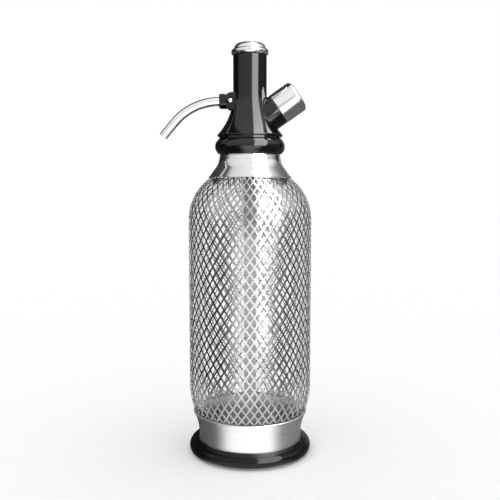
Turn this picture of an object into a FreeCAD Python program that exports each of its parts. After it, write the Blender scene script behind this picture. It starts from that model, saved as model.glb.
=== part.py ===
"""Soda siphon: a glass bottle in a wire sleeve with a screw-on head and a tipping spout.

Millimetres. The origin is the centre of the foot on the table and +Z is up.
The spout points to -X and the charging cap to +X.
"""
import FreeCAD, Part
import math
import os

os.makedirs("parts", exist_ok=True)

# ---------------------------------------------------------------- driving sizes

# Fits between pieces
seat_gap = 0.1             # between pressed pieces
thread_gap = 0.35          # between the head and the neck thread
pivot_gap = 0.05           # between the spout's pins and their holes
move_gap = 0.3             # between pieces that move past each other

# Foot, cup and cushion under the glass
foot_inset = 0.1           # foot's edge inside the sleeve's face
foot_height = 11.1
foot_bead = 8.8            # height of the rounded bead round the foot
foot_low_round = 4.3
foot_high_round = 5.5
foot_floor = 2.6
foot_lip = 0.8
cup_inset = 8.0            # cup's straight foot inside the sleeve's face
cup_wall = 1.0
cup_flare = 22.95          # height of the cup above the foot
cup_hollow = 1.4           # how far the middle of the flare is drawn in
cup_rim_step = 0.8         # rim outside the sleeve's face
cushion_wall = 3.0
cushion_radius = 27.0

# Sleeve of woven wire: its outline is also the glass bottle's
sleeve_radius = 50.0
sleeve_wall = 1.8
net_columns = 47           # diamonds round the sleeve
net_slope = 54.05          # of the strands at the belly, degrees from level
net_floor = 0.6            # wall left in the middle of a diamond
net_level = 123.8          # height of a crossing that faces the front
heel_taper = 23.6          # lean of the wall under the belly, degrees
heel_rise = 9.93           # from the sleeve's edge to where the lean would meet the straight wall
heel_round = 51.6
body_length = 165.72       # between the corners of the straight wall
shoulder_round = 41.5
shoulder_lean = 50.0       # degrees from upright
sleeve_lap = 2.4           # of the sleeve under the neck collar

# Glass bottle
glass_gap = 0.15           # between glass and sleeve
glass_wall = 4.5
glass_corner = 12.0        # round of the bottom edge
neck_radius = 18.5
neck_round = 14.0
neck_length = 16.3         # from the corner under the neck to the lip

# Neck mount
collar_place = 15.4        # collar's lower edge above the shoulder's corner
collar_wall = 1.1
collar_drop = 8.4          # collar's upper edge below the lip
collar_kink = 7.4          # bend in the collar below its upper edge
collar_kink_radius = 25.15
collar_top_radius = 24.2
collar_round = 15.0
thread_radius = 22.0       # crest of the neck thread
thread_length = 13.4
thread_drop = 0.6          # end of the thread below the lip
packing_wall = 0.9
packing_length = 8.2

# Riser, measuring tube and seals
riser_radius = 5.0
riser_wall = 1.0
riser_clearance = 5.9      # under the riser, above the glass floor
riser_rise = 11.0          # how far the riser stands above the glass
measure_gap = 0.8          # between riser and measuring tube
measure_wall = 1.0
measure_length = 74.0
flange_wall = 1.2
flange_inset = 0.9         # flange edge inside the lip's edge
seal_wall = 2.0
seal_overhang = 0.7
slip_wall = 0.6
rubber_height = 2.2        # rubber ring round the riser's top
rubber_lift = 2.4          # that ring above the head's underside
rubber_fit = 0.08
gas_hole_radius = 1.0
gas_hole_wall = 0.4        # between the gas drilling and the bottle's mouth

# Head
spigot_wall = 2.35
spigot_depth = 10.0        # below the head's underside
skirt_bulge = 3.3          # grip ring beyond the spigot
skirt_height = 12.0
skirt_edge = 2.5           # grip ring's lower edge inside its widest part
skirt_edge_round = 3.0
skirt_low = 4.0            # widest part above the lower edge
skirt_high = 3.3           # widest part below the upper edge
skirt_round = 6.2
brim_lift = 2.2            # above the head's underside
brim_wall = 1.2
brim_width = 1.5
flare_length = 13.9        # from the brim to where the flare would meet the tower
flare_round = 48.6
tower_radius = 13.4
tower_length = 62.4        # above the brim
rubber_width = 2.0         # of the rubber ring's groove round the riser
rubber_bore_depth = 9.0
passage_radius = 3.0
chamber_radius = 8.0
chamber_lift = 15.2        # chamber floor above the head's underside

# Water valve
seat_height = 4.0
seat_bore = 2.5
seat_rim = 1.0
seat_rim_radius = 4.0
disc_wall = 2.0
disc_radius = 4.5
holder_height = 2.4
holder_radius = 5.2
rod_radius = 1.6
rod_lap = 1.8              # of the rod in its guide at rest
rod_headroom = 3.3
lift_collar_height = 2.2
lift_collar_radius = 5.2
spring_wire = 0.6
spring_radius = 4.4
spring_turns = 7

# Spout hinge: two ears on the tower, a block between them and two stub pins
pivot_offset = 2.2         # pivot outside the tower's face
pivot_radius = 1.75
pivot_dome = 0.7
pin_depth = 2.2            # pin in the block's cheek
block_width = 9.0
block_height = 11.4
block_length = 9.0         # from the pivot to the spout's side
block_end_radius = 4.4
block_bevel = 1.3
ear_wall = 2.5
ear_height = 14.0
ear_length = 3.3           # from the pivot outwards
ear_bevel = 2.2

# Spout and the nozzle that lifts the valve
spout_radius = 3.6
spout_wall = 0.8
spout_bend = 47.0
spout_turn = 50.0          # degrees
spout_tail = 14.0
spout_plug = 5.6           # length held in the block
nozzle_radius = 1.9
nozzle_bore = 1.1
nozzle_plug = 2.6          # length held in the block
nozzle_space = 3.5         # between nozzle and valve holder
nozzle_reach = 1.6         # between nozzle end and valve rod
grommet_radius = 4.0
grommet_length = 2.3

# Top cap
cap_radius = 14.85
cap_height = 9.5
cap_rim = 4.85
cap_crown_radius = 12.45
cap_crown_edge = 4.9       # round of the crown's edge
cap_crown_round = 16.0
cap_plug_length = 6.3
cap_guide_radius = 2.0
washer_recess = 0.9
washer_wall = 1.2
washer_width = 3.1

# Charging stud and its cap, on an axis that leans out of the head
boss_lift = 8.1            # where the axis leaves the centre line, above the head's underside
boss_lean = 55.0           # degrees from upright
boss_radius = 12.7
boss_start = 6.0
stud_back_wall = 2.4       # between the stud and the valve chamber
stud_base_radius = 9.4
stud_base_length = 7.6
stud_radius = 8.8
stud_length = 15.2
socket_radius = 4.6
socket_depth = 15.5
socket_web = 1.1           # wall between the socket and the check valve
check_bore = 3.0
check_radius = 2.7
check_height = 2.0
check_port_radius = 1.0
check_spring_wire = 0.25
check_spring_radius = 1.9
check_spring_turns = 4
retainer_wall = 0.8
gas_pocket = 3.0
gas_pocket_radius = 2.5
needle_radius = 0.9
needle_bore = 0.4
needle_base = 1.5
needle_length = 5.0
needle_point = 1.2
charger_seal_wall = 2.0
side_cap_radius = 12.8
side_cap_end_wall = 3.3
side_cap_round = 2.8
side_cap_dome = 14.0
gasket_wall = 1.5

# ---------------------------------------------------------------- heights, from the table up

glass_depth = sleeve_wall + glass_gap              # glass face below the sleeve's face
cushion_bottom = foot_floor + cup_wall
glass_bottom = cushion_bottom + cushion_wall
cup_top = foot_height + cup_flare
sleeve_bottom = cup_top + 2 * seat_gap
heel_height = sleeve_bottom + heel_rise
shoulder_height = heel_height + body_length
shoulder_rise = (sleeve_radius - neck_radius - glass_depth) / math.tan(math.radians(shoulder_lean))
neck_height = shoulder_height + shoulder_rise
glass_top = neck_height + neck_length
collar_bottom = shoulder_height + collar_place
sleeve_top = collar_bottom + sleeve_lap
collar_top = glass_top - collar_drop
thread_top = glass_top - thread_drop
riser_bottom = glass_bottom + glass_wall + riser_clearance
riser_top = glass_top + riser_rise
flange_top = glass_top + flange_wall
seal_top = flange_top + seal_wall
head_floor = seal_top + slip_wall
spigot_bottom = head_floor - spigot_depth
skirt_bottom = collar_top + thread_gap
skirt_top = skirt_bottom + skirt_height
brim_bottom = head_floor + brim_lift
brim_top = brim_bottom + brim_wall
tower_top = brim_top + tower_length
chamber_floor = head_floor + chamber_lift
seat_top = chamber_floor + seat_height + seat_rim
disc_top = seat_top + disc_wall
holder_top = disc_top + holder_height
pivot_z = holder_top + nozzle_space + nozzle_radius
lift_collar_bottom = pivot_z + nozzle_radius + move_gap
cap_bottom = tower_top - washer_recess + washer_wall
cap_plug_bottom = cap_bottom - cap_plug_length
rod_top = cap_plug_bottom + rod_lap
boss_root = head_floor + boss_lift

# ---------------------------------------------------------------- places across and along

foot_radius = sleeve_radius - foot_inset
cup_radius = sleeve_radius - cup_inset
glass_bore = neck_radius - glass_wall
measure_radius = riser_radius + measure_gap + measure_wall
rubber_bore = riser_radius + rubber_width
gas_hole_place = glass_bore - gas_hole_radius - gas_hole_wall
spigot_bore = thread_radius + thread_gap
spigot_radius = spigot_bore + spigot_wall
pivot_x = -tower_radius - pivot_offset
block_left = pivot_x - block_length
ear_left = pivot_x - ear_length
ear_inner = block_width / 2 + move_gap
ear_outer = ear_inner + ear_wall
pocket_radius = block_end_radius + move_gap
nozzle_end = -rod_radius - nozzle_reach
boss_tilt = math.radians(boss_lean)
stud_reach = chamber_radius + stud_back_wall + stud_base_radius * math.cos(boss_tilt)
stud_bottom = stud_reach / math.sin(boss_tilt)
boss_face = stud_bottom + stud_base_length
stud_top = boss_face + stud_length
socket_floor = stud_top - socket_depth
check_top = socket_floor - socket_web
side_cap_start = boss_face + move_gap
gasket_bottom = stud_top + move_gap
gasket_top = gasket_bottom + gasket_wall
side_cap_end = gasket_top + side_cap_end_wall

# ---------------------------------------------------------------- drawing helpers


def vector(r, z):
    """A point of an outline: distance from the axis and height."""
    return FreeCAD.Vector(r, 0, z)


def rounded(points):
    """Edges through (r, z) corners; a third value rounds that corner by an arc."""
    edges = []
    last = vector(points[0][0], points[0][1])
    for before, here, after in zip(points, points[1:], points[2:]):
        corner = vector(here[0], here[1])
        way_in = corner - vector(before[0], before[1])
        way_out = vector(after[0], after[1]) - corner
        turn = way_in.getAngle(way_out)
        if len(here) < 3 or turn < 1e-6:
            edges.append(Part.LineSegment(last, corner).toShape())
            last = corner
            continue
        room = min((corner - last).Length, way_out.Length) * 0.995
        reach = min(here[2] * math.tan(turn / 2), room)
        way_in.normalize()
        way_out.normalize()
        start = corner - way_in * reach
        end = corner + way_out * reach
        inward = way_out - way_in
        inward.normalize()
        radius = reach / math.tan(turn / 2)
        middle = corner + inward * (radius / math.cos(turn / 2) - radius)
        if (start - last).Length > 1e-6:
            edges.append(Part.LineSegment(last, start).toShape())
        edges.append(Part.Arc(start, middle, end).toShape())
        last = end
    edges.append(Part.LineSegment(last, vector(points[-1][0], points[-1][1])).toShape())
    return edges


def turned(points):
    """A solid of revolution about Z from a closed ring of outline corners."""
    wire = Part.Wire(rounded(list(points) + [points[0]]))
    return Part.Face(wire).revolve(FreeCAD.Vector(), FreeCAD.Vector(0, 0, 1), 360)


def inset(points, depth):
    """The same corners moved square to the outline, towards its axis side."""
    moved = []
    for i, here in enumerate(points):
        corner = vector(here[0], here[1])
        ways = []
        if i > 0:
            ways.append(corner - vector(points[i - 1][0], points[i - 1][1]))
        if i < len(points) - 1:
            ways.append(vector(points[i + 1][0], points[i + 1][1]) - corner)
        for way in ways:
            way.normalize()
        normals = [FreeCAD.Vector(-way.z, 0, way.x) for way in ways]
        total = normals[0] + normals[-1]
        total = total * (2 * depth / total.dot(total))
        place = corner + total
        row = [place.x, place.z]
        if len(here) > 2:
            bend = ways[0].z * ways[1].x - ways[0].x * ways[1].z
            row.append(here[2] + (depth if bend > 0 else -depth))
        moved.append(tuple(row))
    return moved


def disc(radius, bottom, top, x=0.0):
    """An upright cylinder."""
    return Part.makeCylinder(radius, top - bottom, FreeCAD.Vector(x, 0, bottom))


def ring(outer, inner, bottom, top):
    """An upright tube."""
    return disc(outer, bottom, top).cut(disc(inner, bottom, top))


def spring(radius, wire, bottom, top, turns):
    """A coil spring of round wire that fits between two heights."""
    height = top - bottom - 2 * wire
    helix = Part.makeHelix(height / turns, height, radius)
    start = FreeCAD.Vector(radius, 0, 0)
    circle = Part.makeCircle(wire, start, FreeCAD.Vector(0, 1, 0))
    coil = Part.Wire(helix).makePipeShell([Part.Wire(circle)], True, True)
    coil.translate(FreeCAD.Vector(0, 0, bottom + wire))
    return Part.Solid(coil.Shells[0])


def on_boss(shape):
    """Lean a piece, modelled upright, onto the charging axis."""
    shape.rotate(FreeCAD.Vector(), FreeCAD.Vector(0, 1, 0), boss_lean)
    shape.translate(FreeCAD.Vector(0, 0, boss_root))
    return shape


def level_rod(radius, left, right, z=pivot_z):
    """A cylinder along X."""
    return Part.makeCylinder(radius, right - left, FreeCAD.Vector(left, 0, z), FreeCAD.Vector(1, 0, 0))


def cross_rod(radius, front, back):
    """A cylinder along Y on the spout's pivot."""
    start = FreeCAD.Vector(pivot_x, front, pivot_z)
    return Part.makeCylinder(radius, back - front, start, FreeCAD.Vector(0, 1, 0))


# ---------------------------------------------------------------- bottle


def wall_line():
    """The sleeve's outer line, carried on down to the base and up the neck."""
    bottom = glass_bottom - glass_depth
    neck = neck_radius + glass_depth
    base = sleeve_radius - (heel_height - bottom) * math.tan(math.radians(heel_taper))
    return [
        (0, bottom),
        (base, bottom, glass_corner + glass_depth),
        (sleeve_radius, heel_height, heel_round),
        (sleeve_radius, shoulder_height, shoulder_round),
        (neck, neck_height, neck_round - glass_depth),
        (neck, glass_top),
    ]


def bottle_block(depth, top):
    """The solid inside the wall line at a depth below the sleeve's face."""
    line = inset(wall_line(), depth)
    line[0] = (0, line[0][1])
    line[-1] = (line[-1][0], top)
    return turned(line + [(0, top)])


def sleeve_line_radius(z):
    """Radius of the sleeve's face on the straight part of the shoulder."""
    return sleeve_radius - (z - shoulder_height) * math.tan(math.radians(shoulder_lean))


def glass_bottle():
    outside = bottle_block(glass_depth, glass_top)
    return outside.cut(bottle_block(glass_depth + glass_wall, glass_top + 1))


def net_rings():
    """Radius and height of each ring of strand crossings, a strand's length apart up the sleeve.

    Also the number of the ring with a crossing at the front.
    """
    strand = math.pi * sleeve_radius / net_columns / math.cos(math.radians(net_slope))
    line = Part.Wire(rounded(wall_line())).discretize(Distance=0.05)
    line = [point for point in line if sleeve_bottom < point.z < sleeve_top]
    line[0].z = sleeve_bottom
    line[-1].z = sleeve_top
    steps = [0.0]
    for here, after in zip(line, line[1:]):
        half = math.pi * here.x / net_columns
        steps.append(steps[-1] + (after - here).Length / math.sqrt(strand ** 2 - half ** 2))
    level = next(step for point, step in zip(line, steps) if point.z >= net_level)
    front = round(level)
    above = round(steps[-1] - level)
    marks = [level * k / front for k in range(front)]
    marks += [level + (steps[-1] - level) * k / above for k in range(above)]
    rings = []
    for mark in marks:
        first = next(i for i, step in enumerate(steps) if step >= mark)
        rings.append((line[first].x, line[first].z))
    rings.append((line[-1].x, line[-1].z))
    return rings, front


def net_point(ring_point, place):
    """A point of the net: on a ring, a number of half diamonds round it from the front."""
    angle = math.pi * (place / net_columns - 0.5)
    radius, height = ring_point
    return FreeCAD.Vector(radius * math.cos(angle), radius * math.sin(angle), height)


def net_skin(rings, front):
    """The sleeve's outer face: strands as ridges round diamonds that are pressed in to a point."""
    pits = inset(rings, sleeve_wall - net_floor)
    points = []
    numbers = {}

    def numbered(ring, place, in_pit=False):
        key = (ring, place % (2 * net_columns), in_pit)
        if key not in numbers:
            numbers[key] = len(points)
            points.append(net_point((pits if in_pit else rings)[ring], key[1]))
        return numbers[key]

    facets = []
    last = len(rings) - 1
    for ring in range(last + 1):
        for column in range(net_columns):
            place = 2 * column + (ring + front) % 2 + 1
            left, right = numbered(ring, place - 1), numbered(ring, place + 1)
            if ring == 0:
                facets.append((left, right, numbered(1, place)))
                continue
            below = numbered(ring - 1, place)
            if ring == last:
                facets.append((right, left, below))
                continue
            above, pit = numbered(ring + 1, place), numbered(ring, place, True)
            facets += [(left, pit, above), (pit, right, above), (left, below, pit), (below, right, pit)]
    skin = Part.Shape()
    skin.makeShapeFromMesh((points, facets), 0.001)
    return skin


def net_end(ring_point, place):
    """The flat between one ring of crossings, all round."""
    corners = [net_point(ring_point, 2 * column + place) for column in range(net_columns)]
    return Part.Face(Part.makePolygon(corners + corners[:1]))


def wire_mesh_sleeve():
    rings, front = net_rings()
    ends = [net_end(rings[0], front % 2), net_end(rings[-1], (len(rings) - 1 + front) % 2)]
    shell = Part.Compound(net_skin(rings, front).Faces + ends)
    shell.sewShape(0.001)
    return Part.Solid(shell.Shells[0]).cut(bottle_block(sleeve_wall, glass_top + 1))


def base_foot():
    bore = cup_radius + seat_gap
    return turned([
        (0, 0),
        (foot_radius, 0, foot_low_round),
        (foot_radius, foot_bead, foot_high_round),
        (bore + foot_lip, foot_height, 0.5),
        (bore, foot_height),
        (bore, foot_floor),
        (0, foot_floor),
    ])


def bottom_cup():
    low = vector(cup_radius, foot_height)
    heel_radius = sleeve_radius - heel_rise * math.tan(math.radians(heel_taper))
    rim = vector(heel_radius + cup_rim_step, cup_top)
    waist = (low + rim) * 0.5 + vector(-cup_hollow, 0)
    inward = vector(-cup_wall, 0)
    floor = vector(cup_radius, foot_floor)
    inner_floor = vector(cup_radius - cup_wall, cushion_bottom)
    outline = [
        Part.LineSegment(vector(0, foot_floor), floor).toShape(),
        Part.LineSegment(floor, low).toShape(),
        Part.Arc(low, waist, rim).toShape(),
        Part.LineSegment(rim, rim + inward).toShape(),
        Part.Arc(rim + inward, waist + inward, low + inward).toShape(),
        Part.LineSegment(low + inward, inner_floor).toShape(),
        Part.LineSegment(inner_floor, vector(0, cushion_bottom)).toShape(),
        Part.LineSegment(vector(0, cushion_bottom), vector(0, foot_floor)).toShape(),
    ]
    face = Part.Face(Part.Wire(outline))
    return face.revolve(FreeCAD.Vector(), FreeCAD.Vector(0, 0, 1), 360)


def bottle_cushion():
    return disc(cushion_radius, cushion_bottom, glass_bottom)


def neck_collar():
    lip = collar_wall / math.cos(math.radians(shoulder_lean))
    line = [
        (sleeve_line_radius(collar_bottom) + glass_gap + lip, collar_bottom),
        (collar_kink_radius, collar_top - collar_kink, collar_round),
        (collar_top_radius, collar_top),
    ]
    inner = inset(line, collar_wall)
    inner[-1] = (collar_top_radius - collar_wall, collar_top)
    return turned(line + inner[::-1])


def neck_thread_ring():
    inner = neck_radius + seat_gap + packing_wall + seat_gap
    return ring(thread_radius, inner, thread_top - thread_length, thread_top)


def neck_packing():
    inner = neck_radius + seat_gap
    return ring(inner + packing_wall, inner, thread_top - 1 - packing_length, thread_top - 1)


# ---------------------------------------------------------------- riser


def riser_tube():
    return ring(riser_radius, riser_radius - riser_wall, riser_bottom, riser_top)


def gas_hole(bottom, top):
    return disc(gas_hole_radius, bottom, top, gas_hole_place)


def measuring_tube():
    tube = disc(measure_radius, glass_top - measure_length, flange_top)
    tube = tube.fuse(disc(neck_radius - flange_inset, glass_top, flange_top))
    bore = disc(measure_radius - measure_wall, glass_top - measure_length, flange_top)
    return tube.cut(bore).cut(gas_hole(glass_top - 1, flange_top + 1)).removeSplitter()


def riser_seal():
    seal = ring(neck_radius + seal_overhang, riser_radius + seat_gap / 2, flange_top, seal_top)
    return seal.cut(gas_hole(flange_top - 1, seal_top + 1))


def riser_ring():
    bottom = head_floor + rubber_lift
    return ring(rubber_bore - rubber_fit, riser_radius + seat_gap / 2, bottom, bottom + rubber_height)


def head_slip_washer():
    washer = ring(neck_radius, rubber_bore + thread_gap, seal_top, head_floor)
    return washer.cut(gas_hole(seal_top - 1, head_floor + 1))


# ---------------------------------------------------------------- head


def head_ears():
    """Two cheeks that stand out of the tower and carry the spout's pins."""
    low = pivot_z - ear_height / 2
    high = pivot_z + ear_height / 2
    right = -chamber_radius - 1
    corners = [
        (right, low), (ear_left + ear_bevel, low), (ear_left, low + ear_bevel),
        (ear_left, high - ear_bevel), (ear_left + ear_bevel, high), (right, high),
    ]
    points = [FreeCAD.Vector(x, ear_inner, z) for x, z in corners]
    face = Part.Face(Part.makePolygon(points + points[:1]))
    ear = face.extrude(FreeCAD.Vector(0, ear_wall, 0))
    other = ear.mirror(FreeCAD.Vector(), FreeCAD.Vector(0, 1, 0))
    return [ear, other]


def head_body():
    body = turned([
        (0, spigot_bottom),
        (spigot_radius, spigot_bottom),
        (spigot_radius, brim_bottom),
        (spigot_radius + brim_width, brim_bottom),
        (spigot_radius + brim_width, brim_top),
        (tower_radius, brim_top + flare_length, flare_round),
        (tower_radius, tower_top),
        (0, tower_top),
    ])
    body = body.fuse([on_boss(disc(boss_radius, boss_start, boss_face))] + head_ears())
    pocket_half = FreeCAD.Vector(0, ear_inner, 0)
    pocket = Part.makeCylinder(
        pocket_radius, 2 * ear_inner,
        FreeCAD.Vector(pivot_x, 0, pivot_z) - pocket_half, FreeCAD.Vector(0, 1, 0))
    cuts = [
        disc(spigot_bore, spigot_bottom - 1, head_floor),
        disc(rubber_bore, head_floor - 1, head_floor + rubber_bore_depth),
        disc(passage_radius, head_floor, chamber_floor + 1),
        disc(chamber_radius, chamber_floor, tower_top + 1),
        disc(chamber_radius + washer_width + 3 * seat_gap, tower_top - washer_recess, tower_top + 1),
        on_boss(disc(stud_base_radius + seat_gap / 2, stud_bottom, boss_face + 1)),
        on_boss(disc(gas_pocket_radius, stud_bottom - gas_pocket, stud_bottom + 1)),
        gas_hole(head_floor - 1, gas_drill_top()),
        pocket,
        level_rod(grommet_radius, pivot_x, 0),
        cross_rod(pivot_radius + 0.02, -ear_outer - 1, ear_outer + 1),
    ]
    return body.cut(cuts).removeSplitter()


def gas_drill_top():
    """Height at which the upright drilling has run into the pocket under the stud."""
    reach = stud_bottom - gas_pocket / 2
    return boss_root + (reach - gas_hole_place * math.sin(boss_tilt)) / math.cos(boss_tilt)


def head_skirt_ring():
    inner = spigot_radius + seat_gap
    outer = spigot_radius + skirt_bulge
    step = spigot_bottom - seat_gap
    return turned([
        (spigot_bore, step),
        (spigot_bore, skirt_bottom),
        (outer - skirt_edge, skirt_bottom, skirt_edge_round),
        (outer, skirt_bottom + skirt_low, skirt_round),
        (outer, skirt_top - skirt_high, skirt_round),
        (inner + seat_gap, skirt_top),
        (inner, skirt_top),
        (inner, step),
    ])


def valve_seat():
    base = disc(chamber_radius - seat_gap, chamber_floor, chamber_floor + seat_height)
    rim = disc(seat_rim_radius, chamber_floor, seat_top)
    return base.fuse(rim).cut(disc(seat_bore, chamber_floor - 1, seat_top + 1)).removeSplitter()


def valve_disc():
    return disc(disc_radius, seat_top, disc_top)


def valve_rod():
    holder = disc(holder_radius, disc_top, holder_top)
    return holder.fuse(disc(rod_radius, disc_top, rod_top)).removeSplitter()


def lift_collar():
    top = lift_collar_bottom + lift_collar_height
    return ring(lift_collar_radius, rod_radius + seat_gap / 2, lift_collar_bottom, top)


def valve_spring():
    bottom = lift_collar_bottom + lift_collar_height + seat_gap
    return spring(spring_radius, spring_wire, bottom, cap_plug_bottom - seat_gap, spring_turns)


def pivot_pins():
    """Two stub pins with domed heads, one pressed into each ear."""
    inner = block_width / 2 - pin_depth
    pin = cross_rod(pivot_radius, inner, ear_outer)
    dome_radius = (pivot_radius ** 2 + pivot_dome ** 2) / (2 * pivot_dome)
    centre = FreeCAD.Vector(pivot_x, ear_outer + pivot_dome - dome_radius, pivot_z)
    dome = Part.makeSphere(dome_radius, centre)
    dome = dome.common(cross_rod(pivot_radius, ear_outer - 0.5, ear_outer + 1 + pivot_dome))
    pin = pin.fuse(dome).removeSplitter()
    other = pin.mirror(FreeCAD.Vector(), FreeCAD.Vector(0, 1, 0))
    return Part.makeCompound([pin.Solids[0], other.Solids[0]])


def spout_grommet():
    right = -chamber_radius - move_gap
    outer = level_rod(grommet_radius - seat_gap / 2, right - grommet_length, right)
    return outer.cut(level_rod(nozzle_radius + seat_gap / 2, pivot_x, 0))


# ---------------------------------------------------------------- spout


def spout_block():
    half = block_height / 2
    bevel_x = block_left + block_bevel
    end_x = pivot_x + block_end_radius
    upper = [
        vector(pivot_x, block_end_radius),
        vector(ear_left, half),
        vector(bevel_x, half),
        vector(block_left, half - block_bevel),
    ]
    points = upper + [vector(point.x, -point.z) for point in upper[::-1]]
    edges = [Part.LineSegment(a, b).toShape() for a, b in zip(points, points[1:])]
    edges.append(Part.Arc(points[-1], vector(end_x, 0), points[0]).toShape())
    face = Part.Face(Part.Wire(edges))
    face.translate(FreeCAD.Vector(0, -block_width / 2, pivot_z))
    block = face.extrude(FreeCAD.Vector(0, block_width, 0))
    pin_inner = block_width / 2 - pin_depth - move_gap / 2
    cuts = [
        level_rod(spout_radius + seat_gap / 2, block_left - 1, block_left + spout_plug + seat_gap),
        level_rod(nozzle_bore, block_left, end_x),
        level_rod(nozzle_radius + seat_gap / 2, end_x - nozzle_plug, end_x + 1),
        cross_rod(pivot_radius + pivot_gap, pin_inner, block_width),
        cross_rod(pivot_radius + pivot_gap, -block_width, -pin_inner),
    ]
    return block.cut(cuts).removeSplitter()


def spout_tube():
    """A bent tube: straight in the block, one bend down, and a straight tail."""
    turn = math.radians(spout_turn)
    centre = FreeCAD.Vector(block_left, 0, pivot_z - spout_bend)
    bend_end = centre + FreeCAD.Vector(-spout_bend * math.sin(turn), 0, spout_bend * math.cos(turn))
    tail_way = FreeCAD.Vector(-math.cos(turn), 0, -math.sin(turn))

    def bar(radius, extra):
        plug = level_rod(radius, block_left, block_left + spout_plug + extra)
        start = FreeCAD.Vector(block_left, 0, pivot_z)
        circle = Part.makeCircle(radius, start, FreeCAD.Vector(1, 0, 0))
        section = Part.Face(Part.Wire(circle))
        bend = section.revolve(centre, FreeCAD.Vector(0, -1, 0), spout_turn)
        tail = Part.makeCylinder(radius, spout_tail + extra, bend_end, tail_way)
        return plug.fuse([bend, tail])

    return bar(spout_radius, 0).cut(bar(spout_radius - spout_wall, 1)).removeSplitter()


def inlet_nozzle():
    start = pivot_x + block_end_radius - nozzle_plug
    nozzle = level_rod(nozzle_radius, start, nozzle_end)
    return nozzle.cut(level_rod(nozzle_bore, start - 1, nozzle_end + 1))


# ---------------------------------------------------------------- top cap


def top_cap():
    rim_top = cap_bottom + cap_rim
    crown = cap_bottom + cap_height
    cap = turned([
        (0, cap_bottom),
        (cap_radius, cap_bottom, 1.6),
        (cap_radius, rim_top, 1.9),
        (cap_crown_radius + 0.3, rim_top + 0.3, 0.8),
        (cap_crown_radius, crown - 0.5, cap_crown_edge),
        (cap_crown_radius * 0.45, crown - 0.1, cap_crown_round),
        (0, crown),
    ])
    cap = cap.fuse(disc(chamber_radius - move_gap, cap_plug_bottom, cap_bottom + 1))
    guide = disc(cap_guide_radius, cap_plug_bottom - 1, rod_top + rod_headroom)
    return cap.cut(guide).removeSplitter()


def top_cap_washer():
    inner = chamber_radius + seat_gap
    return ring(inner + washer_width, inner, tower_top - washer_recess, cap_bottom)


# ---------------------------------------------------------------- charging stud


def charging_stud():
    stud = disc(stud_base_radius, stud_bottom, boss_face - seat_gap)
    stud = stud.fuse(disc(stud_radius, stud_bottom, stud_top))
    cuts = [
        disc(socket_radius, socket_floor, stud_top + 1),
        disc(check_port_radius, stud_bottom, stud_top),
        disc(check_bore, stud_bottom - 1, check_top),
    ]
    return on_boss(stud.cut(cuts).removeSplitter())


def piercing_pin():
    base_top = socket_floor + needle_base
    point_bottom = base_top + needle_length
    base = disc(socket_radius - seat_gap, socket_floor, base_top)
    start = FreeCAD.Vector(0, 0, point_bottom)
    point = Part.makeCone(needle_radius, needle_bore + 0.1, needle_point, start)
    pin = base.fuse([disc(needle_radius, socket_floor, point_bottom), point])
    bore = disc(needle_bore, socket_floor - 1, point_bottom + needle_point + 1)
    return on_boss(pin.cut(bore).removeSplitter())


def charger_seal():
    bottom = socket_floor + needle_base
    inner = needle_radius + seat_gap / 2
    return on_boss(ring(socket_radius - seat_gap, inner, bottom, bottom + charger_seal_wall))


def check_valve():
    top = check_top - seat_gap / 2
    return on_boss(disc(check_radius, top - check_height, top))


def check_spring():
    bottom = stud_bottom + retainer_wall + seat_gap / 2
    top = check_top - check_height - seat_gap
    coil = spring(check_spring_radius, check_spring_wire, bottom, top, check_spring_turns)
    return on_boss(coil)


def check_retainer():
    outer = check_bore - seat_gap / 2
    return on_boss(ring(outer, gas_hole_radius, stud_bottom, stud_bottom + retainer_wall))


def charger_cap():
    cap = turned([
        (0, side_cap_start),
        (side_cap_radius, side_cap_start, 0.4),
        (side_cap_radius, side_cap_end - 0.5, side_cap_round),
        (side_cap_radius * 0.5, side_cap_end, side_cap_dome),
        (0, side_cap_end),
    ])
    cap = cap.cut(disc(stud_radius + move_gap, side_cap_start - 1, gasket_top))
    return on_boss(cap)


def charger_cap_gasket():
    return on_boss(disc(stud_radius, gasket_bottom, gasket_top))


# ---------------------------------------------------------------- write the pieces

pieces = [
    glass_bottle, wire_mesh_sleeve, bottom_cup, bottle_cushion, base_foot,
    neck_collar, neck_thread_ring, neck_packing,
    riser_tube, measuring_tube, riser_seal, riser_ring, head_slip_washer,
    head_body, head_skirt_ring, valve_seat, valve_disc, valve_rod, lift_collar, valve_spring,
    pivot_pins, spout_grommet, spout_block, spout_tube, inlet_nozzle,
    top_cap, top_cap_washer,
    charging_stud, piercing_pin, charger_seal, check_valve, check_spring, check_retainer,
    charger_cap, charger_cap_gasket,
]

for piece in pieces:
    shape = piece()
    shape.exportStep("parts/" + piece.__name__ + ".step")
    print(piece.__name__, "solids", len(shape.Solids), "valid", shape.isValid(),
          "volume", round(shape.Volume, 1))
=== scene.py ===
"""Looks of a soda siphon: a glass bottle in a wire sleeve, a black head, a tipping spout and chrome caps.

Metres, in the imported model's own frame: the origin is the centre of the foot on the table, +Z is up,
the spout points to -X and the charging cap to +X.
"""
import math

import bpy
from mathutils import Matrix, Vector


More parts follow.
